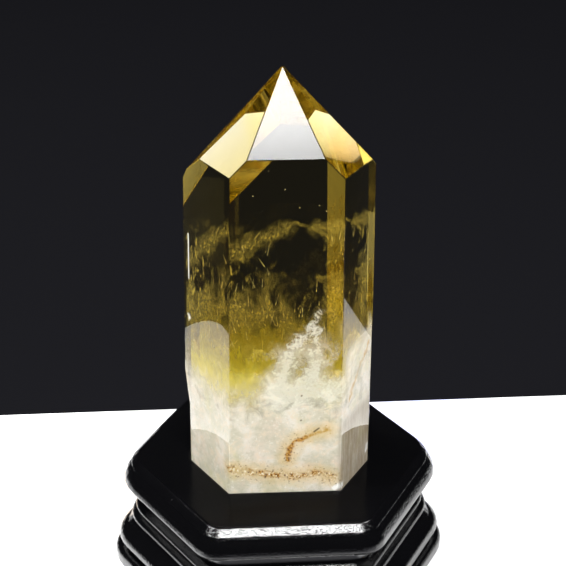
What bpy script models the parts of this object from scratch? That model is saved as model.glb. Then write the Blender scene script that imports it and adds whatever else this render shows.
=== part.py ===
"""A polished six-sided citrine point, standing in the recess of a black lacquered, hexagonal wood stand.

The stand is four moulded boards, one on another, and the stone sits in a shallow recess in the top board.
Lengths below are in millimetres and angles in degrees. The model itself is in metres, with +Z up, the front
of the stand facing -Y, and the table at z = 0.
"""

import math

import bmesh
import bpy
from mathutils import Vector

MM = 0.001
OBJECT_NAME = "citrine_point_on_stand"

# How the pieces sit on each other
SEAT_GAP = 0.3
RECESS_DEPTH = 3.0

# Stand: the heights of its four boards, from the table up
BASE_THICK = 4.3
MOULDING_THICK = 10.6
WAIST_THICK = 13.6
TOP_THICK = 9.5
STAND_HEIGHT = BASE_THICK + MOULDING_THICK + WAIST_THICK + TOP_THICK
# Its boards share one hexagonal plan. A reach is measured from the middle to a flat side
BASE_REACH = 49.6
BASE_ROUND = 1.5
MOULDING_REACH = 48.4
MOULDING_SWELL = 5.2
LOWER_BEAD_REACH = 44.6
UPPER_BEAD_REACH = 43.4
BEAD_SWELL = 1.2
WAIST_REACH = 42.2
COVE_DEPTH = 2.4
TOP_REACH = 46.9
TOP_FLAT_REACH = 41.6
TOP_CHAMFER = 2.45
# How round the plan's corners are: two at the sides, and four at the ends of the front and back
SIDE_CORNER_RADIUS = 19.0
END_CORNER_RADIUS = 8.0
CORNER_STEPS = 6

# Stone: heights are from the stand's upper face, and distances from the stand's middle
APEX = (-0.8, -7.1, 137.2)
BLOCK_HALF = 75.0
BLOCK_HEIGHT = 140.0
# Six prism faces: the way each faces, its distance at the stand's upper face, and its lean inwards going up
PRISM_FACES = (
    (-91.0, 23.7, 0.0),
    (-150.6, 27.0, 0.25),
    (151.0, 26.65, 0.45),
    (85.5, 16.2, 0.3),
    (33.4, 21.2, 0.9),
    (-32.4, 27.5, 0.4),
)
# Seven facets that meet at the apex: the way each one faces, and how steeply it falls
POINT_FACETS = (
    (-90.9, 53.7),
    (-150.9, 51.5),
    (166.7, 50.2),
    (125.5, 59.5),
    (82.7, 53.9),
    (22.4, 50.6),
    (-30.8, 50.9),
)
# The two side edges are ground flat. The left one is ground only below a height, above which the cut runs out
RIGHT_FLAT = 28.17
LEFT_FLAT = 29.15
LEFT_FLAT_TOP = 20.9
LEFT_RUN_OUT = 6.5
EDGE_ROUND = 0.18
# Small chips on the edges: the middle and the radius of the bit that is gone
CHIPS = (
    ((-30.6, -0.7, 52.4), 0.75),
    ((-6.9, -24.0, 115.1), 0.55),
    ((16.9, -24.4, 0.9), 1.3),
    ((28.7, -6.9, 5.0), 0.95),
    ((-18.0, -23.9, 3.0), 0.8),
)


def facing(azimuth, rise):
    """The unit vector that points along a compass angle and rises above the level by an angle."""
    around = math.radians(azimuth)
    up = math.radians(rise)
    return Vector((math.cos(around) * math.cos(up), math.sin(around) * math.cos(up), math.sin(up)))


def start_scene():
    for old in list(bpy.data.objects):
        bpy.data.objects.remove(old, do_unlink=True)
    parts = bpy.data.collections.new(OBJECT_NAME)
    cutters = bpy.data.collections.new("cutters")
    for collection in (parts, cutters):
        bpy.context.scene.collection.children.link(collection)
    return parts, cutters


def plain_material(name, colour, roughness, transmission=0.0, ior=1.5, coat=0.0):
    material = bpy.data.materials.new(name)
    material.use_nodes = True
    shader = material.node_tree.nodes["Principled BSDF"]
    shader.inputs["Base Color"].default_value = (*colour, 1.0)
    shader.inputs["Roughness"].default_value = roughness
    shader.inputs["Metallic"].default_value = 0.0
    shader.inputs["IOR"].default_value = ior
    shader.inputs["Transmission Weight"].default_value = transmission
    shader.inputs["Coat Weight"].default_value = coat
    return material


def make_object(name, shape, collection, height, material=None):
    """Turns a bmesh into an object whose origin is at a height in millimetres."""
    bmesh.ops.recalc_face_normals(shape, faces=shape.faces)
    mesh = bpy.data.meshes.new(name)
    shape.to_mesh(mesh)
    shape.free()
    made = bpy.data.objects.new(name, mesh)
    made.location.z = height * MM
    collection.objects.link(made)
    if material:
        mesh.materials.append(material)
    return made


def make_cutter(name, shape, cutters, height):
    cutter = make_object(name, shape, cutters, height)
    cutter.hide_render = True
    cutter.display_type = "WIRE"
    return cutter


def cut_away(target, cutter, name):
    boolean = target.modifiers.new(name, "BOOLEAN")
    boolean.operation = "DIFFERENCE"
    boolean.object = cutter


# ---------------------------------------------------------------- stone


def slice_off(block, point, normal):
    """Takes off what lies outside one plane, and closes the cut."""
    geometry = block.verts[:] + block.edges[:] + block.faces[:]
    cut = bmesh.ops.bisect_plane(
        block, geom=geometry, dist=1e-7, plane_co=point, plane_no=normal, clear_outer=True
    )
    edges = [item for item in cut["geom_cut"] if isinstance(item, bmesh.types.BMEdge)]
    if edges:
        bmesh.ops.holes_fill(block, edges=edges)


def cut_block(faces, lowest, highest, margin=0.0):
    """A block cut down to upright or leaning faces, each moved out by a margin, between two heights."""
    block = bmesh.new()
    bmesh.ops.create_cube(block, size=2 * BLOCK_HALF * MM)
    bmesh.ops.translate(block, verts=block.verts, vec=(0, 0, (BLOCK_HALF + lowest) * MM))
    for azimuth, distance, lean in faces:
        normal = facing(azimuth, lean)
        slice_off(block, (facing(azimuth, 0.0) * distance + normal * margin) * MM, normal)
    slice_off(block, Vector((0, 0, highest * MM)), Vector((0, 0, 1)))
    return block


def left_edge_cutter(cutters, height):
    """The wedge of stone that is ground away from the left edge."""
    wedge = cut_block([], -2 * RECESS_DEPTH, BLOCK_HALF)
    inner = Vector((-LEFT_FLAT, 0, LEFT_FLAT_TOP)) * MM
    slice_off(wedge, inner, Vector((1, 0, 0)))
    slice_off(wedge, inner, facing(0.0, LEFT_RUN_OUT))
    return make_cutter("cutter_left_edge", wedge, cutters, height)


def chip_cutter(cutters, height):
    """Small rough lumps in one mesh, one at each chipped place."""
    lumps = bmesh.new()
    for index, (place, radius) in enumerate(CHIPS):
        made = bmesh.ops.create_icosphere(lumps, subdivisions=1, radius=radius * MM)
        stretch = Vector((1.0, 1.0, 1.6 + 0.3 * (index % 3)))
        bmesh.ops.scale(lumps, vec=stretch, verts=made["verts"])
        bmesh.ops.translate(lumps, vec=Vector(place) * MM, verts=made["verts"])
    return make_cutter("cutter_chips", lumps, cutters, height)


def make_stone(parts, cutters):
    material = plain_material("citrine", (0.93, 0.78, 0.36), 0.02, transmission=1.0, ior=1.544)
    shape = cut_block(PRISM_FACES + ((0.0, RIGHT_FLAT, 0.0),), -RECESS_DEPTH, BLOCK_HEIGHT)
    for azimuth, slope in POINT_FACETS:
        slice_off(shape, Vector(APEX) * MM, facing(azimuth, 90.0 - slope))
    stone = make_object("crystal_point", shape, parts, STAND_HEIGHT, material)
    cut_away(stone, left_edge_cutter(cutters, STAND_HEIGHT), "left edge")
    rounding = stone.modifiers.new("polished edges", "BEVEL")
    rounding.width = EDGE_ROUND * MM
    rounding.segments = 1
    rounding.limit_method = "ANGLE"
    rounding.angle_limit = math.radians(25)
    cut_away(stone, chip_cutter(cutters, STAND_HEIGHT), "edge chips")


# ---------------------------------------------------------------- stand


def board_outline(reach, corner_scale):
    """A hexagon with rounded corners, as points around the middle. Its two side corners are rounder."""
    points = []
    for corner in range(6):
        towards = 60.0 * corner
        radius = (SIDE_CORNER_RADIUS if corner % 3 == 0 else END_CORNER_RADIUS) * corner_scale
        centre = facing(towards, 0.0) * (reach - radius) / math.cos(math.radians(30))
        for step in range(CORNER_STEPS + 1):
            turn = towards - 30.0 + 60.0 * step / CORNER_STEPS
            points.append((centre + facing(turn, 0.0) * radius) * MM)
    return points


def make_board(name, profile, parts, height, material):
    """One moulded board: its outline at each point of the profile, bridged, and closed flat at both ends.

    A profile point is a reach, a height above the board's underside, and a scale for the corners' rounding.
    """
    board = bmesh.new()
    loops = []
    for reach, level, corner_scale in profile:
        rise = Vector((0, 0, level * MM))
        around = [board.verts.new(point + rise) for point in board_outline(reach, corner_scale)]
        loops.append([board.edges.new(pair) for pair in zip(around, around[1:] + around[:1])])
    for lower, upper in zip(loops, loops[1:]):
        bmesh.ops.bridge_loops(board, edges=lower + upper)
    for end in (loops[0], loops[-1]):
        bmesh.ops.contextual_create(board, geom=end)
    return make_object(name, board, parts, height, material)


def swelling(reach, swell, low, high, steps, start=-75, stop=75):
    """Profile points on half an ellipse out to a reach. It hollows in where the swell is negative."""
    points = []
    for step in range(steps + 1):
        angle = math.radians(start + (stop - start) * step / steps)
        level = (low + high + (high - low) * math.sin(angle)) / 2
        points.append((reach - swell * (1 - math.cos(angle)), level, 0.85))
    return points


def base_profile():
    thick = BASE_THICK - SEAT_GAP
    upper_edge = swelling(BASE_REACH, BASE_ROUND, thick - 2 * BASE_ROUND, thick, 4, 0, 90)
    return [(BASE_REACH, 0.0, 0.85)] + upper_edge


def moulding_profile():
    thick = MOULDING_THICK - SEAT_GAP
    return swelling(MOULDING_REACH, MOULDING_SWELL, 0.0, 0.75 * thick, 9, -90, 60) + [
        (MOULDING_REACH - MOULDING_SWELL, thick, 0.85)
    ]


def waist_profile():
    thick = WAIST_THICK - SEAT_GAP
    lower_bead = swelling(LOWER_BEAD_REACH, BEAD_SWELL, 0.0, 2.1, 4, -90)
    upper_bead = swelling(UPPER_BEAD_REACH, BEAD_SWELL, 3.8, 5.4, 4)
    cove = swelling(WAIST_REACH - COVE_DEPTH, -COVE_DEPTH, 5.6, thick, 6, -85, 90)
    return lower_bead + [(WAIST_REACH, 2.4, 0.85), (WAIST_REACH, 3.7, 0.85)] + upper_bead + cove


def top_profile():
    return [
        (TOP_REACH - 2.2, 0.0, 1.0),
        (TOP_REACH - 0.6, 0.5, 1.0),
        (TOP_REACH, 1.6, 1.0),
        (TOP_REACH - 0.35, 3.2, 1.0),
        (TOP_REACH - 1.2, 4.9, 0.95),
        (TOP_FLAT_REACH + TOP_CHAMFER + 0.1, TOP_THICK - TOP_CHAMFER, 0.8),
        (TOP_FLAT_REACH, TOP_THICK, 0.55),
    ]


def make_stand(parts, cutters):
    lacquer = plain_material("black_lacquer", (0.006, 0.006, 0.007), 0.12, coat=0.6)
    make_board("stand_base", base_profile(), parts, 0.0, lacquer)
    make_board("stand_moulding", moulding_profile(), parts, BASE_THICK, lacquer)
    make_board("stand_waist", waist_profile(), parts, BASE_THICK + MOULDING_THICK, lacquer)
    top = make_board("stand_top", top_profile(), parts, STAND_HEIGHT - TOP_THICK, lacquer)
    recess_faces = PRISM_FACES + ((0.0, RIGHT_FLAT, 0.0), (180.0, LEFT_FLAT, 0.0))
    recess = cut_block(recess_faces, -RECESS_DEPTH - SEAT_GAP, RECESS_DEPTH, SEAT_GAP)
    cut_away(top, make_cutter("cutter_recess", recess, cutters, STAND_HEIGHT), "recess")


def main():
    parts, cutters = start_scene()
    make_stand(parts, cutters)
    make_stone(parts, cutters)


main()
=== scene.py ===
import math
import random
from types import SimpleNamespace

import bpy
from mathutils import Matrix, Vector


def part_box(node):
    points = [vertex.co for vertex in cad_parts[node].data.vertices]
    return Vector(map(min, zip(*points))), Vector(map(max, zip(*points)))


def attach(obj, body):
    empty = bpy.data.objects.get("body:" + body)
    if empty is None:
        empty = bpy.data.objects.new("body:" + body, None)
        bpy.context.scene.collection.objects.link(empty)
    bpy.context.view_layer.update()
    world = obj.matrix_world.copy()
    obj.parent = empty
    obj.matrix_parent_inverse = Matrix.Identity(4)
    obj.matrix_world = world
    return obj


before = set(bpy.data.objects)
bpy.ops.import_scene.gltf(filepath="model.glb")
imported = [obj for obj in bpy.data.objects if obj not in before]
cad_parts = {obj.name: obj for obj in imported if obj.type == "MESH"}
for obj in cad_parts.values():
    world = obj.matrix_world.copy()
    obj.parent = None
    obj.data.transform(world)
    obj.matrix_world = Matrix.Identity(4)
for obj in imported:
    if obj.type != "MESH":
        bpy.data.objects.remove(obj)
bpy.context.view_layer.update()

# Places and sizes are in millimetres, and angles in degrees, unless a comment says otherwise.
# Heights are measured from the stand's upper face, and everything else from the stand's middle.
MM = 0.001
STAND_TOP = round(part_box("stand_top")[1].z / MM, 3)
STAND_FACE = Vector((0, 0, STAND_TOP * MM))

# Camera: where it stands, and how far it is turned aside, pitched down and rolled
LENS = 111.85
SENSOR_WIDTH = 36.0
NEAREST_SEEN = 10.0
FARTHEST_SEEN = 20000.0
CAMERA_PLACE = Vector((-40.135, -481.8, 320.746))
CAMERA_TURN = 4.826
CAMERA_PITCH = 28.137
CAMERA_ROLL = 0.529

# White sheet, in metres: each piece's left, right, front and back edge
SHEET_MIDDLE = (-0.105, 0.121, -0.16, 0.088)
SHEET_STEPS = ((-0.17, -0.105, -0.16, -0.03), (0.06, 0.121, -0.23, -0.16))
SHEET_LEFT_EAR = (-0.19, -0.105, -0.03, 0.09)
SHEET_RIGHT_EAR = (0.121, 0.26, -0.23, 0.11)
SHEET_HEIGHT = -0.0002
# The ears are cut along lines through a point. Each line is given by the way that its waste side faces
LEFT_EAR_TIP = Vector((-0.181, 0.071, 0))
LEFT_EAR_CUTS = (Vector((-0.2317, 1, 0)), Vector((-1.077, -1, 0)))
LEFT_EAR_ROUND = 0.016
RIGHT_EAR_MARK = Vector((0.187, 0.082, 0))
RIGHT_EAR_CUT = Vector((-0.243, 1, 0))
# Painted light: the sheet glows though it is no lamp
PLAIN_PAINTED_GLOW = 0.4
# Painted shade: the darker grey that the sheet's front is painted in
SHEET_PAINTED_SHADE = (0.26, 0.26, 0.28, 1)
SHEET_WHITE = (0.88, 0.88, 0.89, 1)
NO_TINT = (1, 1, 1, 1)
# Tints of the sheet's painted glow
COOL_PAINTED_GLOW = (0.75, 0.85, 2.0, 1)
GOLD_PAINTED_GLOW = (1.25, 0.80, 0.42, 1)
CLOTH_SIDE = 4
CLOTH_HEIGHT = -0.004
CLOTH_CHARCOAL = (0.0066, 0.0066, 0.0088, 1)

# Softboxes, in metres and watts: compass angle, rise, distance, width and height, power
SOFTBOXES = {
    "front box": (-85, 54.0, 1.1, (0.5, 0.262), 9),
    "front fill": (-88, 20, 1.5, (1.3, 0.6), 6.6),
    "high left box": (175, 58, 1.3, (0.5, 0.5), 13),
    "high right box": (10, 58, 1.3, (0.5, 0.5), 5),
}
LAMP_AIM = Vector((0, 0, 0.1))
STUDIO_DARK = (0.008, 0.008, 0.010, 1)

# Stone: the way each side faces, its distance at the stand's upper face, and its lean inwards going up.
# The last two are the ground side edges
STONE_SIDES = (
    (-91.0, 23.7, 0.0),
    (-150.6, 27.0, 0.25),
    (151.0, 26.65, 0.45),
    (85.5, 16.2, 0.3),
    (33.4, 21.2, 0.9),
    (-32.4, 27.5, 0.4),
    (180.0, 29.15, 0.0),
    (0.0, 28.17, 0.0),
)
# The facets at its point: the way each faces, and how steeply it falls
POINT_FACETS = (
    (-90.9, 53.7),
    (-150.9, 51.5),
    (166.7, 50.2),
    (125.5, 59.5),
    (82.7, 53.9),
    (22.4, 50.6),
    (-30.8, 50.9),
)
APEX = Vector((-0.8, -7.1, 137.2 + STAND_TOP)) * MM
RECESS_DEPTH = 3
# The block that a skin is cut from
BLOCK_SIDE = 200

CLEAR_IOR = 1.532
CLEAR_GOLD = (0.85, 0.76, 0.25, 1)
CLEAR_DENSITY = 36.0


# ---------------------------------------------------------------- modelling tools


def facing(azimuth, rise):
    """The unit vector that points along a compass angle and rises above the level by an angle."""
    around = math.radians(azimuth)
    up = math.radians(rise)
    return Vector((math.cos(around) * math.cos(up), math.sin(around) * math.cos(up), math.sin(up)))


def pick(*pieces):
    """Selects these pieces alone, the last one as the active one."""
    bpy.ops.object.select_all(action="DESELECT")
    for piece in pieces:
        piece.select_set(True)
    bpy.context.view_layer.objects.active = pieces[-1]


def settle(piece):
    """Puts the object's place, turn and size into its mesh."""
    pick(piece)
    bpy.ops.object.transform_apply(location=True, rotation=True, scale=True)


def editing(piece):
    pick(piece)
    bpy.ops.object.mode_set(mode="EDIT")
    bpy.ops.mesh.select_all(action="SELECT")


def done_editing():
    bpy.ops.object.mode_set(mode="OBJECT")


def slice_off(point, normal, fill=True):
    """Takes off what lies on the side of the plane that its normal points to."""
    bpy.ops.mesh.select_all(action="SELECT")
    bpy.ops.mesh.bisect(plane_co=point, plane_no=normal, use_fill=fill, clear_outer=True, threshold=1e-7)


def add_plane(name, width, depth, place):
    bpy.ops.mesh.primitive_plane_add(size=1, location=place)
    plane = bpy.context.object
    plane.name = name
    plane.scale = (width, depth, 1)
    settle(plane)
    return plane


def side_plane(side, inset):
    """A point just inside one side of the stone, and the way that side faces."""
    azimuth, distance, lean = side
    normal = facing(azimuth, lean)
    return facing(azimuth, 0) * distance * MM + STAND_FACE - normal * inset * MM, normal


def inner_shell(name, inset, top):
    """A skin a little way inside the stone, parallel to its faces and open above a height."""
    bpy.ops.mesh.primitive_cube_add(size=BLOCK_SIDE * MM, location=(0, 0, BLOCK_SIDE / 2 * MM))
    shell = bpy.context.object
    shell.name = name
    settle(shell)
    editing(shell)
    for side in STONE_SIDES:
        slice_off(*side_plane(side, inset))
    for azimuth, slope in POINT_FACETS:
        normal = facing(azimuth, 90 - slope)
        slice_off(APEX - normal * inset * MM, normal)
    slice_off(Vector((0, 0, (STAND_TOP - RECESS_DEPTH + inset) * MM)), Vector((0, 0, -1)))
    slice_off(Vector((0, 0, (STAND_TOP + top) * MM)), Vector((0, 0, 1)), fill=False)
    bpy.ops.mesh.select_all(action="SELECT")
    bpy.ops.mesh.normals_make_consistent(inside=False)
    done_editing()
    return shell


def put_in_stone(piece, material):
    """Gives a piece its look and makes it part of the stone."""
    piece.data.materials.append(material)
    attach(piece, "root")


# ---------------------------------------------------------------- wiring of looks


def nodes_of(name):
    material = bpy.data.materials.new(name)
    material.use_nodes = True
    tree = material.node_tree
    return material, Wiring(tree), tree.nodes["Principled BSDF"]


def matt(shader):
    shader.inputs["Roughness"].default_value = 1.0
    shader.inputs["Specular IOR Level"].default_value = 0.0


class Wiring:
    """Builds sums of shader nodes from plain calls."""

    def __init__(self, tree):
        self.tree = tree

    def feed(self, socket, value):
        if isinstance(value, bpy.types.NodeSocket):
            self.tree.links.new(value, socket)
        else:
            socket.default_value = value

    def math(self, operation, a, b=0.0, c=0.0, clamp=False):
        node = self.tree.nodes.new("ShaderNodeMath")
        node.operation = operation
        node.use_clamp = clamp
        for socket, value in zip(node.inputs, (a, b, c)):
            self.feed(socket, value)
        return node.outputs[0]

    def chain(self, operation, values):
        result = values[0]
        for value in values[1:]:
            result = self.math(operation, result, value)
        return result

    def times(self, *values):
        return self.chain("MULTIPLY", values)

    def plus(self, *values):
        return self.chain("ADD", values)

    def most(self, *values):
        return self.chain("MAXIMUM", values)

    def least(self, *values):
        return self.chain("MINIMUM", values)

    def ramp(self, value, start, end, at_start=0.0, at_end=1.0, kind="SMOOTHSTEP"):
        """Goes from one level to another as the value goes from start to end, and stays level beyond."""
        node = self.tree.nodes.new("ShaderNodeMapRange")
        node.interpolation_type = kind
        for socket, item in zip(node.inputs, (value, start, end, at_start, at_end)):
            self.feed(socket, item)
        return node.outputs[0]

    def slope(self, value, start, end, at_start=0.0, at_end=1.0):
        """The same in a straight line."""
        return self.ramp(value, start, end, at_start, at_end, kind="LINEAR")

    def between(self, value, start, full, fade, end):
        """1 from full to fade, and 0 before start and past end."""
        return self.times(self.ramp(value, start, full), self.ramp(value, end, fade))

    def vector_node(self, operation, values):
        node = self.tree.nodes.new("ShaderNodeVectorMath")
        node.operation = operation
        for socket, value in zip(node.inputs, values):
            self.feed(socket, value)
        return node.outputs

    def vector(self, operation, *values):
        return self.vector_node(operation, values)["Vector"]

    def measure(self, operation, *values):
        """The number that a vector operation such as a length gives."""
        return self.vector_node(operation, values)["Value"]

    def place(self):
        """The point's place in millimetres from the middle of the stand's upper face."""
        node = self.tree.nodes.new("ShaderNodeTexCoord")
        return self.vector("MULTIPLY_ADD", node.outputs["Object"], (1000, 1000, 1000), (0, 0, -STAND_TOP))

    def split(self, vector):
        node = self.tree.nodes.new("ShaderNodeSeparateXYZ")
        self.feed(node.inputs[0], vector)
        return node.outputs

    def noise_node(self, vector, size, detail, rough, distortion, stretch):
        node = self.tree.nodes.new("ShaderNodeTexNoise")
        scale = tuple(1.0 / (size * share) for share in stretch)
        self.feed(node.inputs["Vector"], self.vector("MULTIPLY", vector, scale))
        node.inputs["Scale"].default_value = 1.0
        node.inputs["Detail"].default_value = detail
        node.inputs["Roughness"].default_value = rough
        node.inputs["Distortion"].default_value = distortion
        return node.outputs

    def noise(self, vector, size, detail=4.0, rough=0.55, distortion=0.0, stretch=(1, 1, 1)):
        """Cloudy noise around 0.5 whose lumps are about this many millimetres."""
        return self.noise_node(vector, size, detail, rough, distortion, stretch)["Fac"]

    def warp(self, spot, size, reach):
        """The spot shaken about by cloudy noise, so that lines and edges turn ragged."""
        noise = self.noise_node(spot, size, 4.0, 0.5, 0.0, (1, 1, 1))["Color"]
        shift = self.vector("MULTIPLY_ADD", noise, (2 * reach,) * 3, (-reach,) * 3)
        return self.vector("ADD", spot, shift)

    def near(self, spot, *paths):
        """Distance in millimetres from the spot to the nearest path. A path is a line through its points."""
        gaps = []
        for path in paths:
            for start, end in zip(path, path[1:]):
                along = Vector(end) - Vector(start)
                offset = self.vector("SUBTRACT", spot, start)
                share = self.measure("DOT_PRODUCT", offset, tuple(along / along.length_squared))
                share = self.math("ADD", share, 0.0, clamp=True)
                foot = self.vector("MULTIPLY", share, tuple(along))
                gaps.append(self.measure("LENGTH", self.vector("SUBTRACT", offset, foot)))
        return self.least(*gaps)

    def blend(self, factor, a, b):
        node = self.tree.nodes.new("ShaderNodeMix")
        node.data_type = "RGBA"
        factor_socket, a_socket, b_socket = node.inputs[0], node.inputs[6], node.inputs[7]
        self.feed(factor_socket, factor)
        self.feed(a_socket, a)
        self.feed(b_socket, b)
        return node.outputs[2]


# ---------------------------------------------------------------- camera, stage and light


def make_camera():
    camera_data = bpy.data.cameras.new("camera")
    camera_data.lens = LENS
    camera_data.sensor_width = SENSOR_WIDTH
    camera_data.clip_start = NEAREST_SEEN * MM
    camera_data.clip_end = FARTHEST_SEEN * MM
    camera = bpy.data.objects.new("camera", camera_data)
    bpy.context.scene.collection.objects.link(camera)
    turn, pitch, roll = (math.radians(angle) for angle in (CAMERA_TURN, CAMERA_PITCH, CAMERA_ROLL))
    right = Vector((math.cos(turn), -math.sin(turn), 0))
    up = Vector((math.sin(turn) * math.sin(pitch), math.cos(turn) * math.sin(pitch), math.cos(pitch)))
    x_axis = math.cos(roll) * right + math.sin(roll) * up
    y_axis = math.cos(roll) * up - math.sin(roll) * right
    place = Matrix((x_axis, y_axis, x_axis.cross(y_axis))).transposed().to_4x4()
    place.translation = CAMERA_PLACE * MM + STAND_FACE
    camera.matrix_world = place
    bpy.context.scene.camera = camera


def sheet_piece(edges):
    left, right, front, back = edges
    middle = ((left + right) / 2, (front + back) / 2, SHEET_HEIGHT)
    return add_plane("table_piece", right - left, back - front, middle)


def round_corner(sheet, corner, reach):
    """Rounds one corner of a flat sheet that is being edited, and ends the editing."""
    bpy.ops.mesh.select_all(action="DESELECT")
    done_editing()
    nearest = min(sheet.data.vertices, key=lambda vertex: (vertex.co.xy - corner.xy).length)
    nearest.select = True
    bpy.ops.object.mode_set(mode="EDIT")
    bpy.ops.mesh.select_mode(type="VERT")
    bpy.ops.mesh.bevel(affect="VERTICES", offset=reach, segments=6)
    done_editing()


def make_sheet():
    """A small white sheet lying on dark cloth, cut to an uneven outline."""
    middle = sheet_piece(SHEET_MIDDLE)
    steps = [sheet_piece(edges) for edges in SHEET_STEPS]
    left_ear = sheet_piece(SHEET_LEFT_EAR)
    editing(left_ear)
    for cut in LEFT_EAR_CUTS:
        slice_off(LEFT_EAR_TIP, cut, fill=False)
    round_corner(left_ear, LEFT_EAR_TIP, LEFT_EAR_ROUND)
    right_ear = sheet_piece(SHEET_RIGHT_EAR)
    editing(right_ear)
    slice_off(RIGHT_EAR_MARK, RIGHT_EAR_CUT, fill=False)
    done_editing()
    pick(*steps, left_ear, right_ear, middle)
    bpy.ops.object.join()
    middle.name = "table"
    return middle


def sheet_out_of_painted_shade(wires, x, y):
    """0 in the front of the sheet, which is painted in shade, and 1 behind it. The border lies further
    forward at the sides.
    """
    aside = wires.ramp(wires.math("ABSOLUTE", x), 62.0, 75.0)
    start = wires.math("MULTIPLY_ADD", aside, -20.0, -95.0)
    end = wires.math("MULTIPLY_ADD", aside, -45.0, -40.0)
    return wires.ramp(y, start, end)


def painted_glow_tint(wires, x, y):
    """Tints of the sheet's painted glow: a cool patch behind the stone on its right, and a golden one on its
    left.
    """
    cool = wires.times(wires.between(x, 35.0, 55.0, 74.0, 84.0), wires.ramp(y, 40.0, 54.0))
    gold = wires.times(
        wires.between(x, -74.0, -65.0, -53.0, -49.0),
        wires.between(y, 22.0, 28.0, 48.0, 56.0),
    )
    return wires.blend(gold, wires.blend(cool, NO_TINT, COOL_PAINTED_GLOW), GOLD_PAINTED_GLOW)


def painted_sheet_glow(wires, x, y):
    """Painted glow: bright in a band on each side of the stone, weaker between them as a painted shadow of
    the stone and stand, and weaker beyond them.
    """
    bend = wires.ramp(y, 20.0, 50.0, 0.0, 18.0)
    right = wires.ramp(wires.math("SUBTRACT", x, bend), 62.0, 88.0)
    right = wires.times(right, wires.ramp(x, 92.0, 110.0, 1.0, 0.1))
    far_left = wires.ramp(x, -130.0, -150.0, 0.0, 0.3)
    left = wires.most(wires.between(x, -112.0, -92.0, -62.0, -42.0), far_left)
    plain = wires.ramp(wires.math("ABSOLUTE", x), 86.0, 102.0, PLAIN_PAINTED_GLOW, PLAIN_PAINTED_GLOW / 2)
    return wires.plus(right, left, plain)


def sheet_material():
    material, wires, shader = nodes_of("table_white")
    x, y, _ = wires.split(wires.place())
    out_of_painted_shade = sheet_out_of_painted_shade(wires, x, y)
    # Painted shade: the front of the sheet is a darker grey, and it gets no glow
    wires.feed(shader.inputs["Base Color"], wires.blend(out_of_painted_shade, SHEET_PAINTED_SHADE, SHEET_WHITE))
    shader.inputs["Roughness"].default_value = 0.6
    shader.inputs["Specular IOR Level"].default_value = 0.2
    # The painted glow is tinted cool and golden in patches
    wires.feed(shader.inputs["Emission Color"], painted_glow_tint(wires, x, y))
    # Painted glow: the sheet gives off light, brightest in bands beside the stone
    wires.feed(shader.inputs["Emission Strength"], wires.times(painted_sheet_glow(wires, x, y), out_of_painted_shade))
    return material


def cloth_material():
    material, _, shader = nodes_of("charcoal_cloth")
    shader.inputs["Base Color"].default_value = CLOTH_CHARCOAL
    shader.inputs["Roughness"].default_value = 0.9
    shader.inputs["Specular IOR Level"].default_value = 0.1
    return material


def make_stage():
    table = make_sheet()
    table.data.materials.append(sheet_material())
    floor = add_plane("dark_cloth", CLOTH_SIDE, CLOTH_SIDE, (0, 0, CLOTH_HEIGHT))
    floor.data.materials.append(cloth_material())


def area_light(name, azimuth, rise, away, size, power):
    light = bpy.data.lights.new(name, "AREA")
    light.shape = "RECTANGLE"
    light.size, light.size_y = size
    light.energy = power
    lamp = bpy.data.objects.new(name, light)
    bpy.context.scene.collection.objects.link(lamp)
    lamp.location = LAMP_AIM + facing(azimuth, rise) * away
    lamp.rotation_euler = (LAMP_AIM - lamp.location).to_track_quat("-Z", "Y").to_euler()
    return lamp


def fade_lower_edge(lamp, share, least):
    """Dims the lower share of a softbox down to the least strength at its edge."""
    lamp.data.use_nodes = True
    tree = lamp.data.node_tree
    wires = Wiring(tree)
    lamp_face = tree.nodes.new("ShaderNodeNewGeometry")
    _, up, _ = wires.split(lamp_face.outputs["Parametric"])
    wires.feed(tree.nodes["Emission"].inputs["Strength"], wires.ramp(up, 0.0, share, least, 1.0))


def make_lights():
    world = bpy.data.worlds.new("studio")
    world.use_nodes = True
    bpy.context.scene.world = world
    background = world.node_tree.nodes["Background"]
    background.inputs["Color"].default_value = STUDIO_DARK
    background.inputs["Strength"].default_value = 1.0
    lamps = {name: area_light(name, *values) for name, values in SOFTBOXES.items()}
    fade_lower_edge(lamps["front box"], share=0.36, least=0.4)
    lamps["front fill"].visible_glossy = False


# ---------------------------------------------------------------- clear stone


def citrine():
    """Clear golden stone."""
    material, wires, shader = nodes_of("citrine")
    shader.inputs["Base Color"].default_value = (1, 1, 1, 1)
    shader.inputs["Roughness"].default_value = 0.0
    shader.inputs["IOR"].default_value = CLEAR_IOR
    shader.inputs["Transmission Weight"].default_value = 1.0
    absorb = wires.tree.nodes.new("ShaderNodeVolumeAbsorption")
    absorb.inputs["Color"].default_value = CLEAR_GOLD
    absorb.inputs["Density"].default_value = CLEAR_DENSITY
    wires.feed(wires.tree.nodes["Material Output"].inputs["Volume"], absorb.outputs["Volume"])
    return material


# ---------------------------------------------------------------- milk, plume and rust under the faces

SKIN_INSET = 0.6
SKIN_TOP = 84.0
MILK_TOP = 36.5
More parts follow.
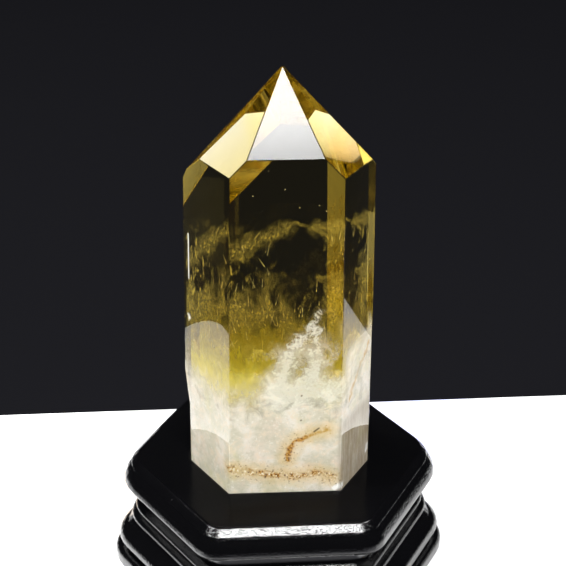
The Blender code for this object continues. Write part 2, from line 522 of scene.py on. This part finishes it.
# Lines on the skin. Each is a row of points: across, deep and up
PLUME_LEFT = (
    (8.8, -23.4, 64.1), (6.5, -23.3, 58.6), (3.3, -23.3, 53.5),
    (0.3, -23.2, 47.6), (-1.8, -23.2, 41.3), (-2.4, -23.2, 34.0),
)
PLUME_RIGHT = (
    (8.9, -23.4, 62.7), (8.6, -23.3, 55.1), (8.8, -23.3, 48.1),
    (8.0, -23.3, 41.0), (2.0, -23.3, 36.5), (15.0, -23.5, 37.0),
)
RUST_ARC = (
    (13.0, -23.4, 22.3), (9.9, -23.4, 21.7), (6.8, -23.3, 20.7),
    (3.1, -23.3, 18.9), (0.9, -23.2, 15.6), (0.3, -23.2, 11.9),
)
RUST_LINE = (
    (-20.7, -22.8, 8.9), (-12.9, -23.0, 8.2), (-7.5, -23.1, 6.9), (-0.3, -23.2, 5.9),
    (4.5, -23.3, 5.7), (9.2, -23.4, 6.7), (14.9, -23.5, 4.6),
)
RUST_SIDE = (
    (26.9, -7.5, 44.7), (25.8, -9.3, 41.8), (23.9, -12.2, 40.0),
    (22.5, -14.6, 36.7), (20.7, -17.4, 33.1), (19.6, -19.1, 29.8),
)
DARK_MARKS = (
    ((8.7, -23.3, 22.0), (10.2, -23.4, 23.2)),
    ((4.6, -23.3, 35.1), (4.7, -23.3, 35.3)),
    ((4.5, -23.3, 26.2), (4.6, -23.3, 26.3)),
)
KNOCKS = (
    ((-29.0, -1.9, 52.8), (-29.0, -2.6, 52.0)),
    ((15.6, -23.5, 0.6), (17.6, -22.6, 1.4)),
    ((26.6, -7.6, 4.2), (27.4, -6.9, 5.6)),
)
# A painted highlight: a bright line along the stone's narrow left edge, drawn on the skin
EDGE_HIGHLIGHT_LINE = ((-28.6, -2.6, 66.5), (-28.6, -2.6, 81.5))

MILK_GREY = (0.66, 0.63, 0.52, 1)
MILK_WHITE = (0.84, 0.80, 0.73, 1)
MILK_STRAW = (0.66, 0.62, 0.36, 1)
MILK_PINK = (0.78, 0.66, 0.56, 1)
MILK_CREAM = (0.86, 0.73, 0.57, 1)
MILK_SHADE = (0.52, 0.50, 0.38, 1)
MILK_GRAIN = (1.0, 0.99, 0.95, 1)
PLUME_WHITE = (0.80, 0.80, 0.70, 1)
HONEY = (0.74, 0.56, 0.24, 1)
FLANK_BROWN = (0.34, 0.27, 0.18, 1)
RUST = (0.52, 0.26, 0.03, 1)
RUST_DARK = (0.09, 0.02, 0.004, 1)
RUST_OCHRE = (0.60, 0.38, 0.07, 1)
MARK_BROWN = (0.10, 0.07, 0.03, 1)
# Colour of the painted highlights: glints along the rust line
PAINTED_GLINT_WHITE = (1.0, 0.97, 0.85, 1)
# White of the knocks, also used for the painted highlight along the left edge
KNOCK_AND_HIGHLIGHT_WHITE = (1.0, 1.0, 0.98, 1)


def ragged_height(wires, spot, lift, sway, comb):
    """How far below an uneven ceiling the spot is: broad swells plus a fine upright comb."""
    _, _, z = wires.split(spot)
    broad = wires.noise(spot, size=22.0, detail=2.0, rough=0.5)
    fine = wires.noise(spot, size=2.6, detail=5.0, rough=0.62, distortion=0.4, stretch=(1, 1, 2.0))
    edge = wires.math("MULTIPLY_ADD", broad, 2 * sway, lift - sway)
    edge = wires.plus(edge, wires.math("MULTIPLY_ADD", fine, 2 * comb, -comb))
    return wires.math("SUBTRACT", edge, z)


def milk_colour(wires, spot):
    """Milky white that drifts to grey green, straw and faint pink."""
    soft = wires.noise(spot, size=9.0, detail=5.0, rough=0.6, distortion=0.5)
    aside = wires.vector("ADD", spot, (40, 11, 7))
    other = wires.noise(aside, size=13.0, detail=4.0, rough=0.6, distortion=0.8)
    grain = wires.noise(spot, size=0.9, detail=4.0, rough=0.7)
    mottle = wires.noise(spot, size=2.4, detail=6.0, rough=0.72, distortion=0.3)
    colour = wires.blend(wires.ramp(soft, 0.38, 0.62), MILK_GREY, MILK_WHITE)
    colour = wires.blend(wires.ramp(other, 0.52, 0.70, 0.0, 0.55), colour, MILK_STRAW)
    colour = wires.blend(wires.ramp(other, 0.46, 0.30, 0.0, 0.5), colour, MILK_PINK)
    colour = wires.blend(wires.ramp(mottle, 0.50, 0.62, 0.0, 0.50), colour, MILK_CREAM)
    colour = wires.blend(wires.ramp(mottle, 0.48, 0.36, 0.0, 0.42), colour, MILK_SHADE)
    return wires.blend(wires.ramp(grain, 0.56, 0.70, 0.0, 0.6), colour, MILK_GRAIN)


def skin_measures(wires):
    """What the skin's colour and its cover are both worked out from."""
    spot = wires.place()
    x, _, z = wires.split(spot)
    shaken = wires.warp(spot, size=2.2, reach=1.5)
    skin = SimpleNamespace(
        spot=spot,
        x=x,
        z=z,
        patchy=wires.noise(spot, size=5.0, detail=5.0, rough=0.65, distortion=0.6),
        crumbs=wires.noise(spot, size=0.7, detail=6.0, rough=0.8),
        specks=wires.noise(spot, size=0.75, detail=3.0, rough=0.6),
        broken=wires.noise(spot, size=5.5, detail=2.0, rough=0.5),
        arc=wires.near(shaken, RUST_ARC),
        line=wires.near(shaken, RUST_LINE),
    )
    side = wires.near(shaken, RUST_SIDE)
    skin.side_rust = wires.times(wires.ramp(side, 1.1, 0.3), wires.ramp(skin.broken, 0.38, 0.60, 0.5, 1.0))
    knocks = wires.ramp(wires.near(shaken, *KNOCKS), 1.5, 0.6)
    # The knocks, with the painted highlight along the left edge added to them
    skin.knocks = wires.most(knocks, wires.ramp(wires.near(spot, EDGE_HIGHLIGHT_LINE), 0.6, 0.25))
    skin.plume = plume_cover(wires, skin)
    return skin


def plume_cover(wires, skin):
    """The white plume: narrow at its tip and wide at its foot, with a flaky, crumbly border."""
    ridge = wires.near(wires.warp(skin.spot, size=3.0, reach=2.6), PLUME_LEFT, PLUME_RIGHT)
    width = wires.slope(skin.z, 64.0, 38.0, 0.5, 4.6)
    flakes = wires.noise(skin.spot, size=3.2, detail=5.0, rough=0.7, distortion=0.8)
    border = wires.plus(
        wires.math("SUBTRACT", width, ridge),
        wires.slope(flakes, 0.3, 0.7, -2.4, 2.4),
        wires.slope(skin.crumbs, 0.3, 0.7, -1.6, 1.6),
    )
    return wires.ramp(border, -1.0, 2.4)


def milk_cover(wires, skin):
    """Full at the foot, patchy towards its uneven top, and higher along the plume, with a haze round it."""
    ridge = wires.near(skin.spot, PLUME_LEFT, PLUME_RIGHT)
    below = ragged_height(wires, skin.spot, MILK_TOP, sway=7.0, comb=5.0)
    below = wires.plus(below, wires.ramp(ridge, 9.0, 2.0, 0.0, 9.0))
    foot = wires.ramp(skin.z, 34.0, 12.0, 0.0, 0.5)
    patches = wires.ramp(wires.plus(skin.patchy, foot), 0.32, 0.6, 0.45, 1.0)
    milk = wires.times(wires.ramp(below, -5.0, 9.0), patches, 0.95)
    haze_gap = wires.plus(ridge, wires.math("MULTIPLY_ADD", skin.patchy, 22.0, -11.0))
    haze = wires.times(wires.ramp(haze_gap, 7.5, 0.0, 0.0, 0.6), wires.ramp(skin.z, 60.0, 48.0))
    side_patches = wires.ramp(skin.patchy, 0.3, 0.6, 0.6, 0.95)
    side_milk = wires.times(wires.ramp(skin.x, 16.5, 20.0), wires.ramp(skin.z, 53.0, 45.0), side_patches)
    return wires.most(milk, haze, side_milk)


def rust_cover(wires, skin):
    """Broken lines of rust, and freckles about them."""
    arc = wires.math("MULTIPLY_ADD", skin.broken, 2.4, wires.math("SUBTRACT", skin.arc, 1.2))
    arc = wires.times(wires.ramp(arc, 1.15, 0.15), wires.ramp(skin.specks, 0.30, 0.50, 0.35, 1.0))
    line = wires.times(
        wires.ramp(skin.line, 2.1, 0.3),
        wires.ramp(skin.specks, 0.40, 0.50),
        wires.ramp(skin.broken, 0.40, 0.52, 0.25, 1.0),
    )
    freckles = wires.times(
        wires.ramp(wires.least(skin.arc, skin.line), 4.5, 1.0),
        wires.ramp(skin.specks, 0.60, 0.66, 0.0, 0.9),
    )
    return wires.most(arc, line, skin.side_rust, freckles)


def rust_colour(wires, skin):
    """Rust with dark specks, paler along the arc's upper end."""
    rust = wires.blend(wires.ramp(skin.specks, 0.50, 0.62), RUST, RUST_DARK)
    tail = wires.times(wires.ramp(skin.x, 4.0, 10.0, 0.0, 0.75), wires.ramp(skin.z, 12.0, 16.0))
    return wires.blend(tail, rust, RUST_OCHRE)


def flank_cover(wires, skin):
    """The brown, finely streaked flank at the right of the foot."""
    hair = wires.noise(skin.spot, size=0.8, detail=3.0, rough=0.6, stretch=(1, 1, 12))
    streaks = wires.ramp(hair, 0.35, 0.65, 0.5, 0.85)
    return wires.times(wires.ramp(skin.x, 15.5, 18.0), wires.ramp(skin.z, 27.0, 22.0), streaks)


def skin_colour(wires, skin):
    sparkle = wires.times(skin.plume, wires.ramp(skin.crumbs, 0.40, 0.60, 0.1, 1.0))
    warm = wires.ramp(wires.least(skin.arc, skin.line), 5.0, 0.8, 0.0, 0.6)
    marks = wires.ramp(wires.near(skin.spot, *DARK_MARKS), 0.38, 0.18, 0.0, 0.85)
    # Painted highlights: white glints along the rust line
    painted_glint = wires.times(wires.ramp(skin.line, 2.4, 0.6), wires.ramp(skin.specks, 0.40, 0.33))
    colour = wires.blend(sparkle, milk_colour(wires, skin.spot), PLUME_WHITE)
    colour = wires.blend(warm, colour, HONEY)
    colour = wires.blend(flank_cover(wires, skin), colour, FLANK_BROWN)
    colour = wires.blend(rust_cover(wires, skin), colour, rust_colour(wires, skin))
    colour = wires.blend(marks, colour, MARK_BROWN)
    colour = wires.blend(painted_glint, colour, PAINTED_GLINT_WHITE)
    # White knocks, and the painted highlight along the left edge
    return wires.blend(skin.knocks, colour, KNOCK_AND_HIGHLIGHT_WHITE)


def skin_material():
    """Just under the faces: milk low down, the sparkling plume, and rust in the cracks."""
    material, wires, shader = nodes_of("milk_skin")
    skin = skin_measures(wires)
    wires.feed(shader.inputs["Base Color"], skin_colour(wires, skin))
    plume = wires.times(skin.plume, 0.8)
    knocks = wires.times(skin.knocks, 0.95)
    cover = wires.most(milk_cover(wires, skin), plume, skin.side_rust, knocks)
    wires.feed(shader.inputs["Alpha"], cover)
    matt(shader)
    return material


# ---------------------------------------------------------------- golden cloud

# Each layer: how far inside the faces it lies, its uneven ceiling, how much it covers, where its mesh ends,
# and its colours low down and high up
CLOUD_LAYERS = {
    "cloud_outer": SimpleNamespace(
        inset=3.5, lift=41.0, sway=5.0, comb=6.0, soft=6.0, most=0.85, top=66.0,
        low_colour=(0.76, 0.71, 0.46, 1), high_colour=(0.72, 0.62, 0.08, 1), low_z=22.0, high_z=40.0,
    ),
    "cloud_middle": SimpleNamespace(
        inset=8.0, lift=48.0, sway=6.0, comb=9.0, soft=6.0, most=0.88, top=76.0,
        low_colour=(0.66, 0.58, 0.16, 1), high_colour=(0.44, 0.36, 0.03, 1), low_z=28.0, high_z=46.0,
    ),
    "cloud_inner": SimpleNamespace(
        inset=13.0, lift=54.0, sway=7.0, comb=11.0, soft=8.0, most=0.55, top=88.0,
        low_colour=(0.44, 0.35, 0.05, 1), high_colour=(0.20, 0.155, 0.018, 1), low_z=40.0, high_z=62.0,
    ),
}
MURK = (0.13, 0.11, 0.02, 1)
HEAP_INSET = 4.5
HEAP_TOP = 38.0
HEAP_LID = 37.9
HEAP_FOOT = 1
HEAP_DARK = (0.28, 0.22, 0.055, 1)
HEAP_PALE = (0.50, 0.42, 0.15, 1)
LUMP_SIZE = 12.0
LUMP_HEIGHT = 30.0


def cloud_material(name, layer):
    material, wires, shader = nodes_of(name)
    spot = wires.place()
    _, _, z = wires.split(spot)
    below = ragged_height(wires, spot, layer.lift, layer.sway, layer.comb)
    colour = wires.blend(wires.ramp(z, layer.low_z, layer.high_z), layer.low_colour, layer.high_colour)
    dapple = wires.noise(spot, size=1.7, detail=6.0, rough=0.74, distortion=0.4, stretch=(1, 1, 1.6))
    murk = wires.times(wires.ramp(dapple, 0.38, 0.60, 0.65, 0.0), wires.ramp(z, 36.0, 54.0, 0.15, 1.0))
    wires.feed(shader.inputs["Base Color"], wires.blend(murk, colour, MURK))
    thin = wires.times(wires.ramp(z, 42.0, 56.0), wires.ramp(dapple, 0.58, 0.44, 0.0, 0.88))
    cover = wires.ramp(below, -layer.soft, layer.soft, 0.0, layer.most)
    wires.feed(shader.inputs["Alpha"], wires.times(cover, wires.math("SUBTRACT", 1.0, thin)))
    matt(shader)
    return material


def heap_material():
    material, wires, shader = nodes_of("cloud_heap")
    spot = wires.place()
    dapple = wires.noise(spot, size=3.0, detail=5.0, rough=0.6, distortion=0.5)
    thick = wires.noise(spot, size=4.0, detail=5.0, rough=0.65)
    wires.feed(shader.inputs["Base Color"], wires.blend(wires.ramp(dapple, 0.36, 0.60), HEAP_DARK, HEAP_PALE))
    wires.feed(shader.inputs["Alpha"], wires.ramp(thick, 0.30, 0.46, 0.55, 1.0))
    matt(shader)
    return material


def make_heap():
    """The bumpy upper side of the milky part, as it lies across the inside of the stone."""
    heap = inner_shell("cloud_heap", HEAP_INSET, HEAP_TOP)
    editing(heap)
    slice_off(Vector((0, 0, (STAND_TOP + HEAP_LID) * MM)), Vector((0, 0, 1)))
    bpy.ops.mesh.select_all(action="SELECT")
    bpy.ops.mesh.quads_convert_to_tris()
    bpy.ops.mesh.subdivide(number_cuts=7)
    bpy.ops.mesh.subdivide(number_cuts=3)
    done_editing()
    lumps = bpy.data.textures.new("lumps", "CLOUDS")
    lumps.noise_scale = LUMP_SIZE * MM
    lumps.noise_depth = 3
    swell = heap.modifiers.new("swell", "DISPLACE")
    swell.texture = lumps
    swell.direction = "Z"
    swell.strength = LUMP_HEIGHT * MM
    swell.mid_level = 0.5
    bpy.context.view_layer.objects.active = heap
    bpy.ops.object.modifier_apply(modifier="swell")
    editing(heap)
    slice_off(Vector((0, 0, (STAND_TOP - HEAP_FOOT) * MM)), Vector((0, 0, -1)))
    done_editing()
    return heap


def make_cloud():
    """The skin under the faces, the cloud's layers one inside the other, and the heap among them."""
    shells = [(inner_shell("milk_skin", SKIN_INSET, SKIN_TOP), skin_material())]
    for name, layer in CLOUD_LAYERS.items():
        shells.append((inner_shell(name, layer.inset, layer.top), cloud_material(name, layer)))
    shells.append((make_heap(), heap_material()))
    for shell, material in shells:
        put_in_stone(shell, material)


# ---------------------------------------------------------------- deep veil

VEIL_WIDTH = 56.0
VEIL_LOW = 30.0
VEIL_HIGH = 104.0
VEIL_DEPTH = 5.0
VEIL_INSET = 1.2
# Lines on the upright sheet: across, 0 and up
VEIL_BAND = ((-32, 0, 64), (-19, 0, 73), (-11, 0, 78.5), (-4, 0, 82), (1, 0, 84))
VEIL_ARCH = ((1, 0, 84), (4.5, 0, 85.6), (9, 0, 84.6), (12.5, 0, 81), (13.6, 0, 77))
VEIL_RIGHT = ((10, 0, 84), (15, 0, 84.6), (21, 0, 85.5), (28, 0, 88))
VEIL_HOLE = ((5.2, 0, 77.5), (5.4, 0, 75.0))
VEIL_DARK = (0.42, 0.34, 0.05, 1)
VEIL_PALE = (0.66, 0.54, 0.20, 1)


def veil_lines(wires, flat, fray):
    """The ragged band, its arch round the clear hole, and its end on the right."""
    shaken = wires.warp(flat, size=5.0, reach=3.6)
    band = wires.ramp(wires.near(shaken, VEIL_BAND), 4.2, 0.2)
    arch = wires.ramp(wires.near(shaken, VEIL_ARCH), 1.4, 0.1)
    right = wires.ramp(wires.near(shaken, VEIL_RIGHT), 4.0, 0.3)
    return wires.most(
        wires.times(band, wires.slope(fray, 0.38, 0.66, 0.0, 0.70)),
        wires.times(arch, wires.slope(fray, 0.30, 0.66, 0.1, 0.6)),
        wires.times(right, wires.slope(fray, 0.30, 0.68, 0.0, 0.6)),
    )


def veil_wisps(wires, flat, x, z, fray):
    """Hanging wisps and clumps, which leave the hole clear."""
    aside = wires.vector("ADD", flat, (3, 0, 9))
    comb = wires.noise(aside, size=2.2, detail=6.0, rough=0.70, distortion=0.5, stretch=(1, 1, 2.2))
    broad = wires.noise(flat, size=12.0, detail=3.0, rough=0.55, distortion=0.4)
    zone = wires.times(wires.ramp(z, 88.0, 72.0), wires.ramp(z, 40.0, 56.0, 0.6, 1.0))
    off_middle = wires.math("ABSOLUTE", wires.math("SUBTRACT", x, 1.0))
    wisps = wires.times(wires.ramp(comb, 0.50, 0.70), zone, wires.ramp(off_middle, 6.0, 20.0, 0.25, 1.0))
    clumps = wires.ramp(wires.plus(broad, wires.ramp(z, 74.0, 56.0, -0.08, 0.12)), 0.50, 0.68)
    clumps = wires.times(clumps, zone, wires.slope(fray, 0.30, 0.70, 0.0, 0.8))
    hole = wires.near(wires.warp(flat, size=5.0, reach=1.0), VEIL_HOLE)
    return wires.times(wires.most(wisps, clumps), wires.ramp(hole, 6.6, 9.0))


def veil_material():
    """Tiny bubbles: a ragged band, an arch round a clear hole, and hanging wisps."""
    material, wires, shader = nodes_of("deep_veil")
    spot = wires.place()
    x, _, z = wires.split(spot)
    flat = wires.vector("MULTIPLY", spot, (1, 0, 1))
    fray = wires.noise(flat, size=0.9, detail=6.0, rough=0.78, distortion=0.3, stretch=(1, 1, 1.6))
    cover = wires.most(veil_wisps(wires, flat, x, z, fray), veil_lines(wires, flat, fray))
    wires.feed(shader.inputs["Alpha"], wires.times(cover, wires.ramp(z, 104.0, 92.0)))
    wires.feed(shader.inputs["Base Color"], wires.blend(fray, VEIL_DARK, VEIL_PALE))
    matt(shader)
    return material


def make_veil():
    """An upright sheet across the stone, trimmed to stay inside it."""
    bpy.ops.mesh.primitive_grid_add(x_subdivisions=12, y_subdivisions=12, size=1, location=(0, 0, 0))
    veil = bpy.context.object
    veil.name = "deep_veil"
    veil.scale = (VEIL_WIDTH * MM, (VEIL_HIGH - VEIL_LOW) * MM, 1)
    veil.rotation_euler = (math.radians(90), 0, 0)
    veil.location = (0, VEIL_DEPTH * MM, (STAND_TOP + (VEIL_LOW + VEIL_HIGH) / 2) * MM)
    settle(veil)
    editing(veil)
    for side in STONE_SIDES:
        slice_off(*side_plane(side, VEIL_INSET), fill=False)
    done_editing()
    put_in_stone(veil, veil_material())


# ---------------------------------------------------------------- needles and sparks

NEEDLE_SEED = 5
NEEDLE_TRIES = 190
# Where a needle may hang: across, deep, and from this height up. Few hang high up
NEEDLE_ACROSS = (-22, 22)
NEEDLE_DEEP = (-19, 10)
NEEDLE_LOWEST = 46
NEEDLE_SPAN = 42
NEEDLE_THINNING = 1.7
NEEDLE_LENGTHS = (0.9, 4.6)
NEEDLE_ROOT = 0.05
NEEDLE_ROOT_SPREAD = 0.06
NEEDLE_TIP = 0.02
SPARK_RADIUS = 0.17
SPARKS = (
    (1.5, -21.9, 80.4), (-5.8, -21.7, 110.9), (-1.0, -21.9, 105), (9.1, -21.9, 99.5), (11.2, -21.9, 97.6),
    (-10, -15, 101), (4, -12, 96), (14, -18, 71), (-14, -20, 66),
)
NEEDLE_DARK = (0.40, 0.32, 0.06, 1)
NEEDLE_PALE = (0.95, 0.85, 0.50, 1)


def needle_material():
    material, wires, shader = nodes_of("needles")
    grain = wires.noise(wires.place(), size=1.5, detail=3.0, rough=0.6)
    wires.feed(shader.inputs["Base Color"], wires.blend(grain, NEEDLE_DARK, NEEDLE_PALE))
    wires.feed(shader.inputs["Alpha"], wires.ramp(grain, 0.36, 0.56, 0.1, 0.85))
    matt(shader)
    return material


def spot_in_stone(x, y, height):
    return x * MM, y * MM, (STAND_TOP + height) * MM


def room_for_needle(x, y, height):
    """Whether a needle here stays inside the stone and out of the clear hole."""
    inside = abs(x) + max(0, -y - 8) <= 26
    in_hole = abs(x - 5) < 9 and height > 66
    return inside and not in_hole


def add_needle(chance, x, y, height):
    length = chance.uniform(*NEEDLE_LENGTHS)
    radius = NEEDLE_ROOT + NEEDLE_ROOT_SPREAD * chance.random()
    turn = (chance.gauss(0, 0.25), chance.gauss(0, 0.3), chance.uniform(0, 3))
    bpy.ops.mesh.primitive_cone_add(
        vertices=4,
        radius1=radius * MM,
        radius2=NEEDLE_TIP * MM,
        depth=length * MM,
        location=spot_in_stone(x, y, height),
        rotation=turn,
    )
    return bpy.context.object


def add_spark(x, y, height):
    bpy.ops.mesh.primitive_ico_sphere_add(
        subdivisions=1, radius=SPARK_RADIUS * MM, location=spot_in_stone(x, y, height)
    )
    return bpy.context.object


def make_needles():
    """Fine slivers hanging in the clear part and thickening towards the cloud, and a few bright dots."""
    chance = random.Random(NEEDLE_SEED)
    slivers = []
    for _ in range(NEEDLE_TRIES):
        height = NEEDLE_LOWEST + NEEDLE_SPAN * chance.random() ** NEEDLE_THINNING
        x = chance.uniform(*NEEDLE_ACROSS)
        y = chance.uniform(*NEEDLE_DEEP)
        if room_for_needle(x, y, height):
            slivers.append(add_needle(chance, x, y, height))
    slivers += [add_spark(*place) for place in SPARKS]
    pick(*slivers[1:], slivers[0])
    bpy.ops.object.join()
    needles = bpy.context.object
    needles.name = "needles"
    settle(needles)
    put_in_stone(needles, needle_material())


# ---------------------------------------------------------------- lacquered stand

LACQUER_BLACK = (0.003, 0.003, 0.0035, 1)
LACQUER_IOR = 1.6
# The upper face is dull from this height up, and the edges below it are glossy
DULL_FROM = -0.25
DULL_FULL = -0.1
PEEL_SIZE = 0.8
PEEL_DEPTH = 0.08
PEEL_STRENGTH = 0.8
STREAK_SHARE = 2.6
EDGE_SOFTENING = 1.3


def lacquer_normal(wires, spot, z):
    """A fine orange-peel skin over softened edges, with stronger streaks along the top board's chamfer."""
    rounded = wires.tree.nodes.new("ShaderNodeBevel")
    rounded.samples = 4
    rounded.inputs["Radius"].default_value = EDGE_SOFTENING * MM
    peel = wires.noise(spot, size=PEEL_SIZE, detail=2.0, rough=0.5)
    streaks = wires.noise(spot, size=PEEL_SIZE, detail=3.0, rough=0.6, stretch=(2.4, 1, 1))
    chamfer = wires.between(z, -2.6, -2.2, -0.4, -0.1)
    bump = wires.tree.nodes.new("ShaderNodeBump")
    bump.inputs["Strength"].default_value = PEEL_STRENGTH
    bump.inputs["Distance"].default_value = PEEL_DEPTH * MM
    wires.feed(bump.inputs["Height"], wires.plus(peel, wires.times(streaks, chamfer, STREAK_SHARE)))
    wires.feed(bump.inputs["Normal"], rounded.outputs["Normal"])
    return bump.outputs["Normal"]


def lacquer():
    """Thick black lacquer: a dull upper face, glossy mouldings, and a fine orange-peel skin."""
    material, wires, shader = nodes_of("black_lacquer")
    spot = wires.place()
    _, _, z = wires.split(spot)
    smear = wires.noise(spot, size=14.0, detail=4.0, rough=0.6)
    shader.inputs["Base Color"].default_value = LACQUER_BLACK
    shader.inputs["IOR"].default_value = LACQUER_IOR
    wires.feed(shader.inputs["Roughness"], wires.ramp(smear, 0.3, 0.7, 0.05, 0.10))
    wires.feed(shader.inputs["Specular IOR Level"], wires.ramp(z, DULL_FROM, DULL_FULL, 1.0, 0.04))
    wires.feed(shader.inputs["Normal"], lacquer_normal(wires, spot, z))
    return material


# ---------------------------------------------------------------- the whole scene


def finish_frame():
    """Gives the stone and the stand's boards their looks. The stone doesn't shade the cloud inside it."""
    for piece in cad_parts.values():
        piece.data.materials.clear()
        piece.data.materials.append(citrine() if piece.name == "crystal_point" else lacquer())
    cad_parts["crystal_point"].visible_shadow = False


def set_light_paths():
    """Lets light pass through the clear stone and the layers inside it, and keeps the colours plain."""
    scene = bpy.context.scene
    scene.view_settings.view_transform = "Standard"
    scene.cycles.max_bounces = 24
    scene.cycles.transmission_bounces = 24
    scene.cycles.transparent_max_bounces = 48
    scene.cycles.glossy_bounces = 8


make_camera()
make_stage()
make_lights()
make_cloud()
make_veil()
make_needles()
finish_frame()
set_light_paths()
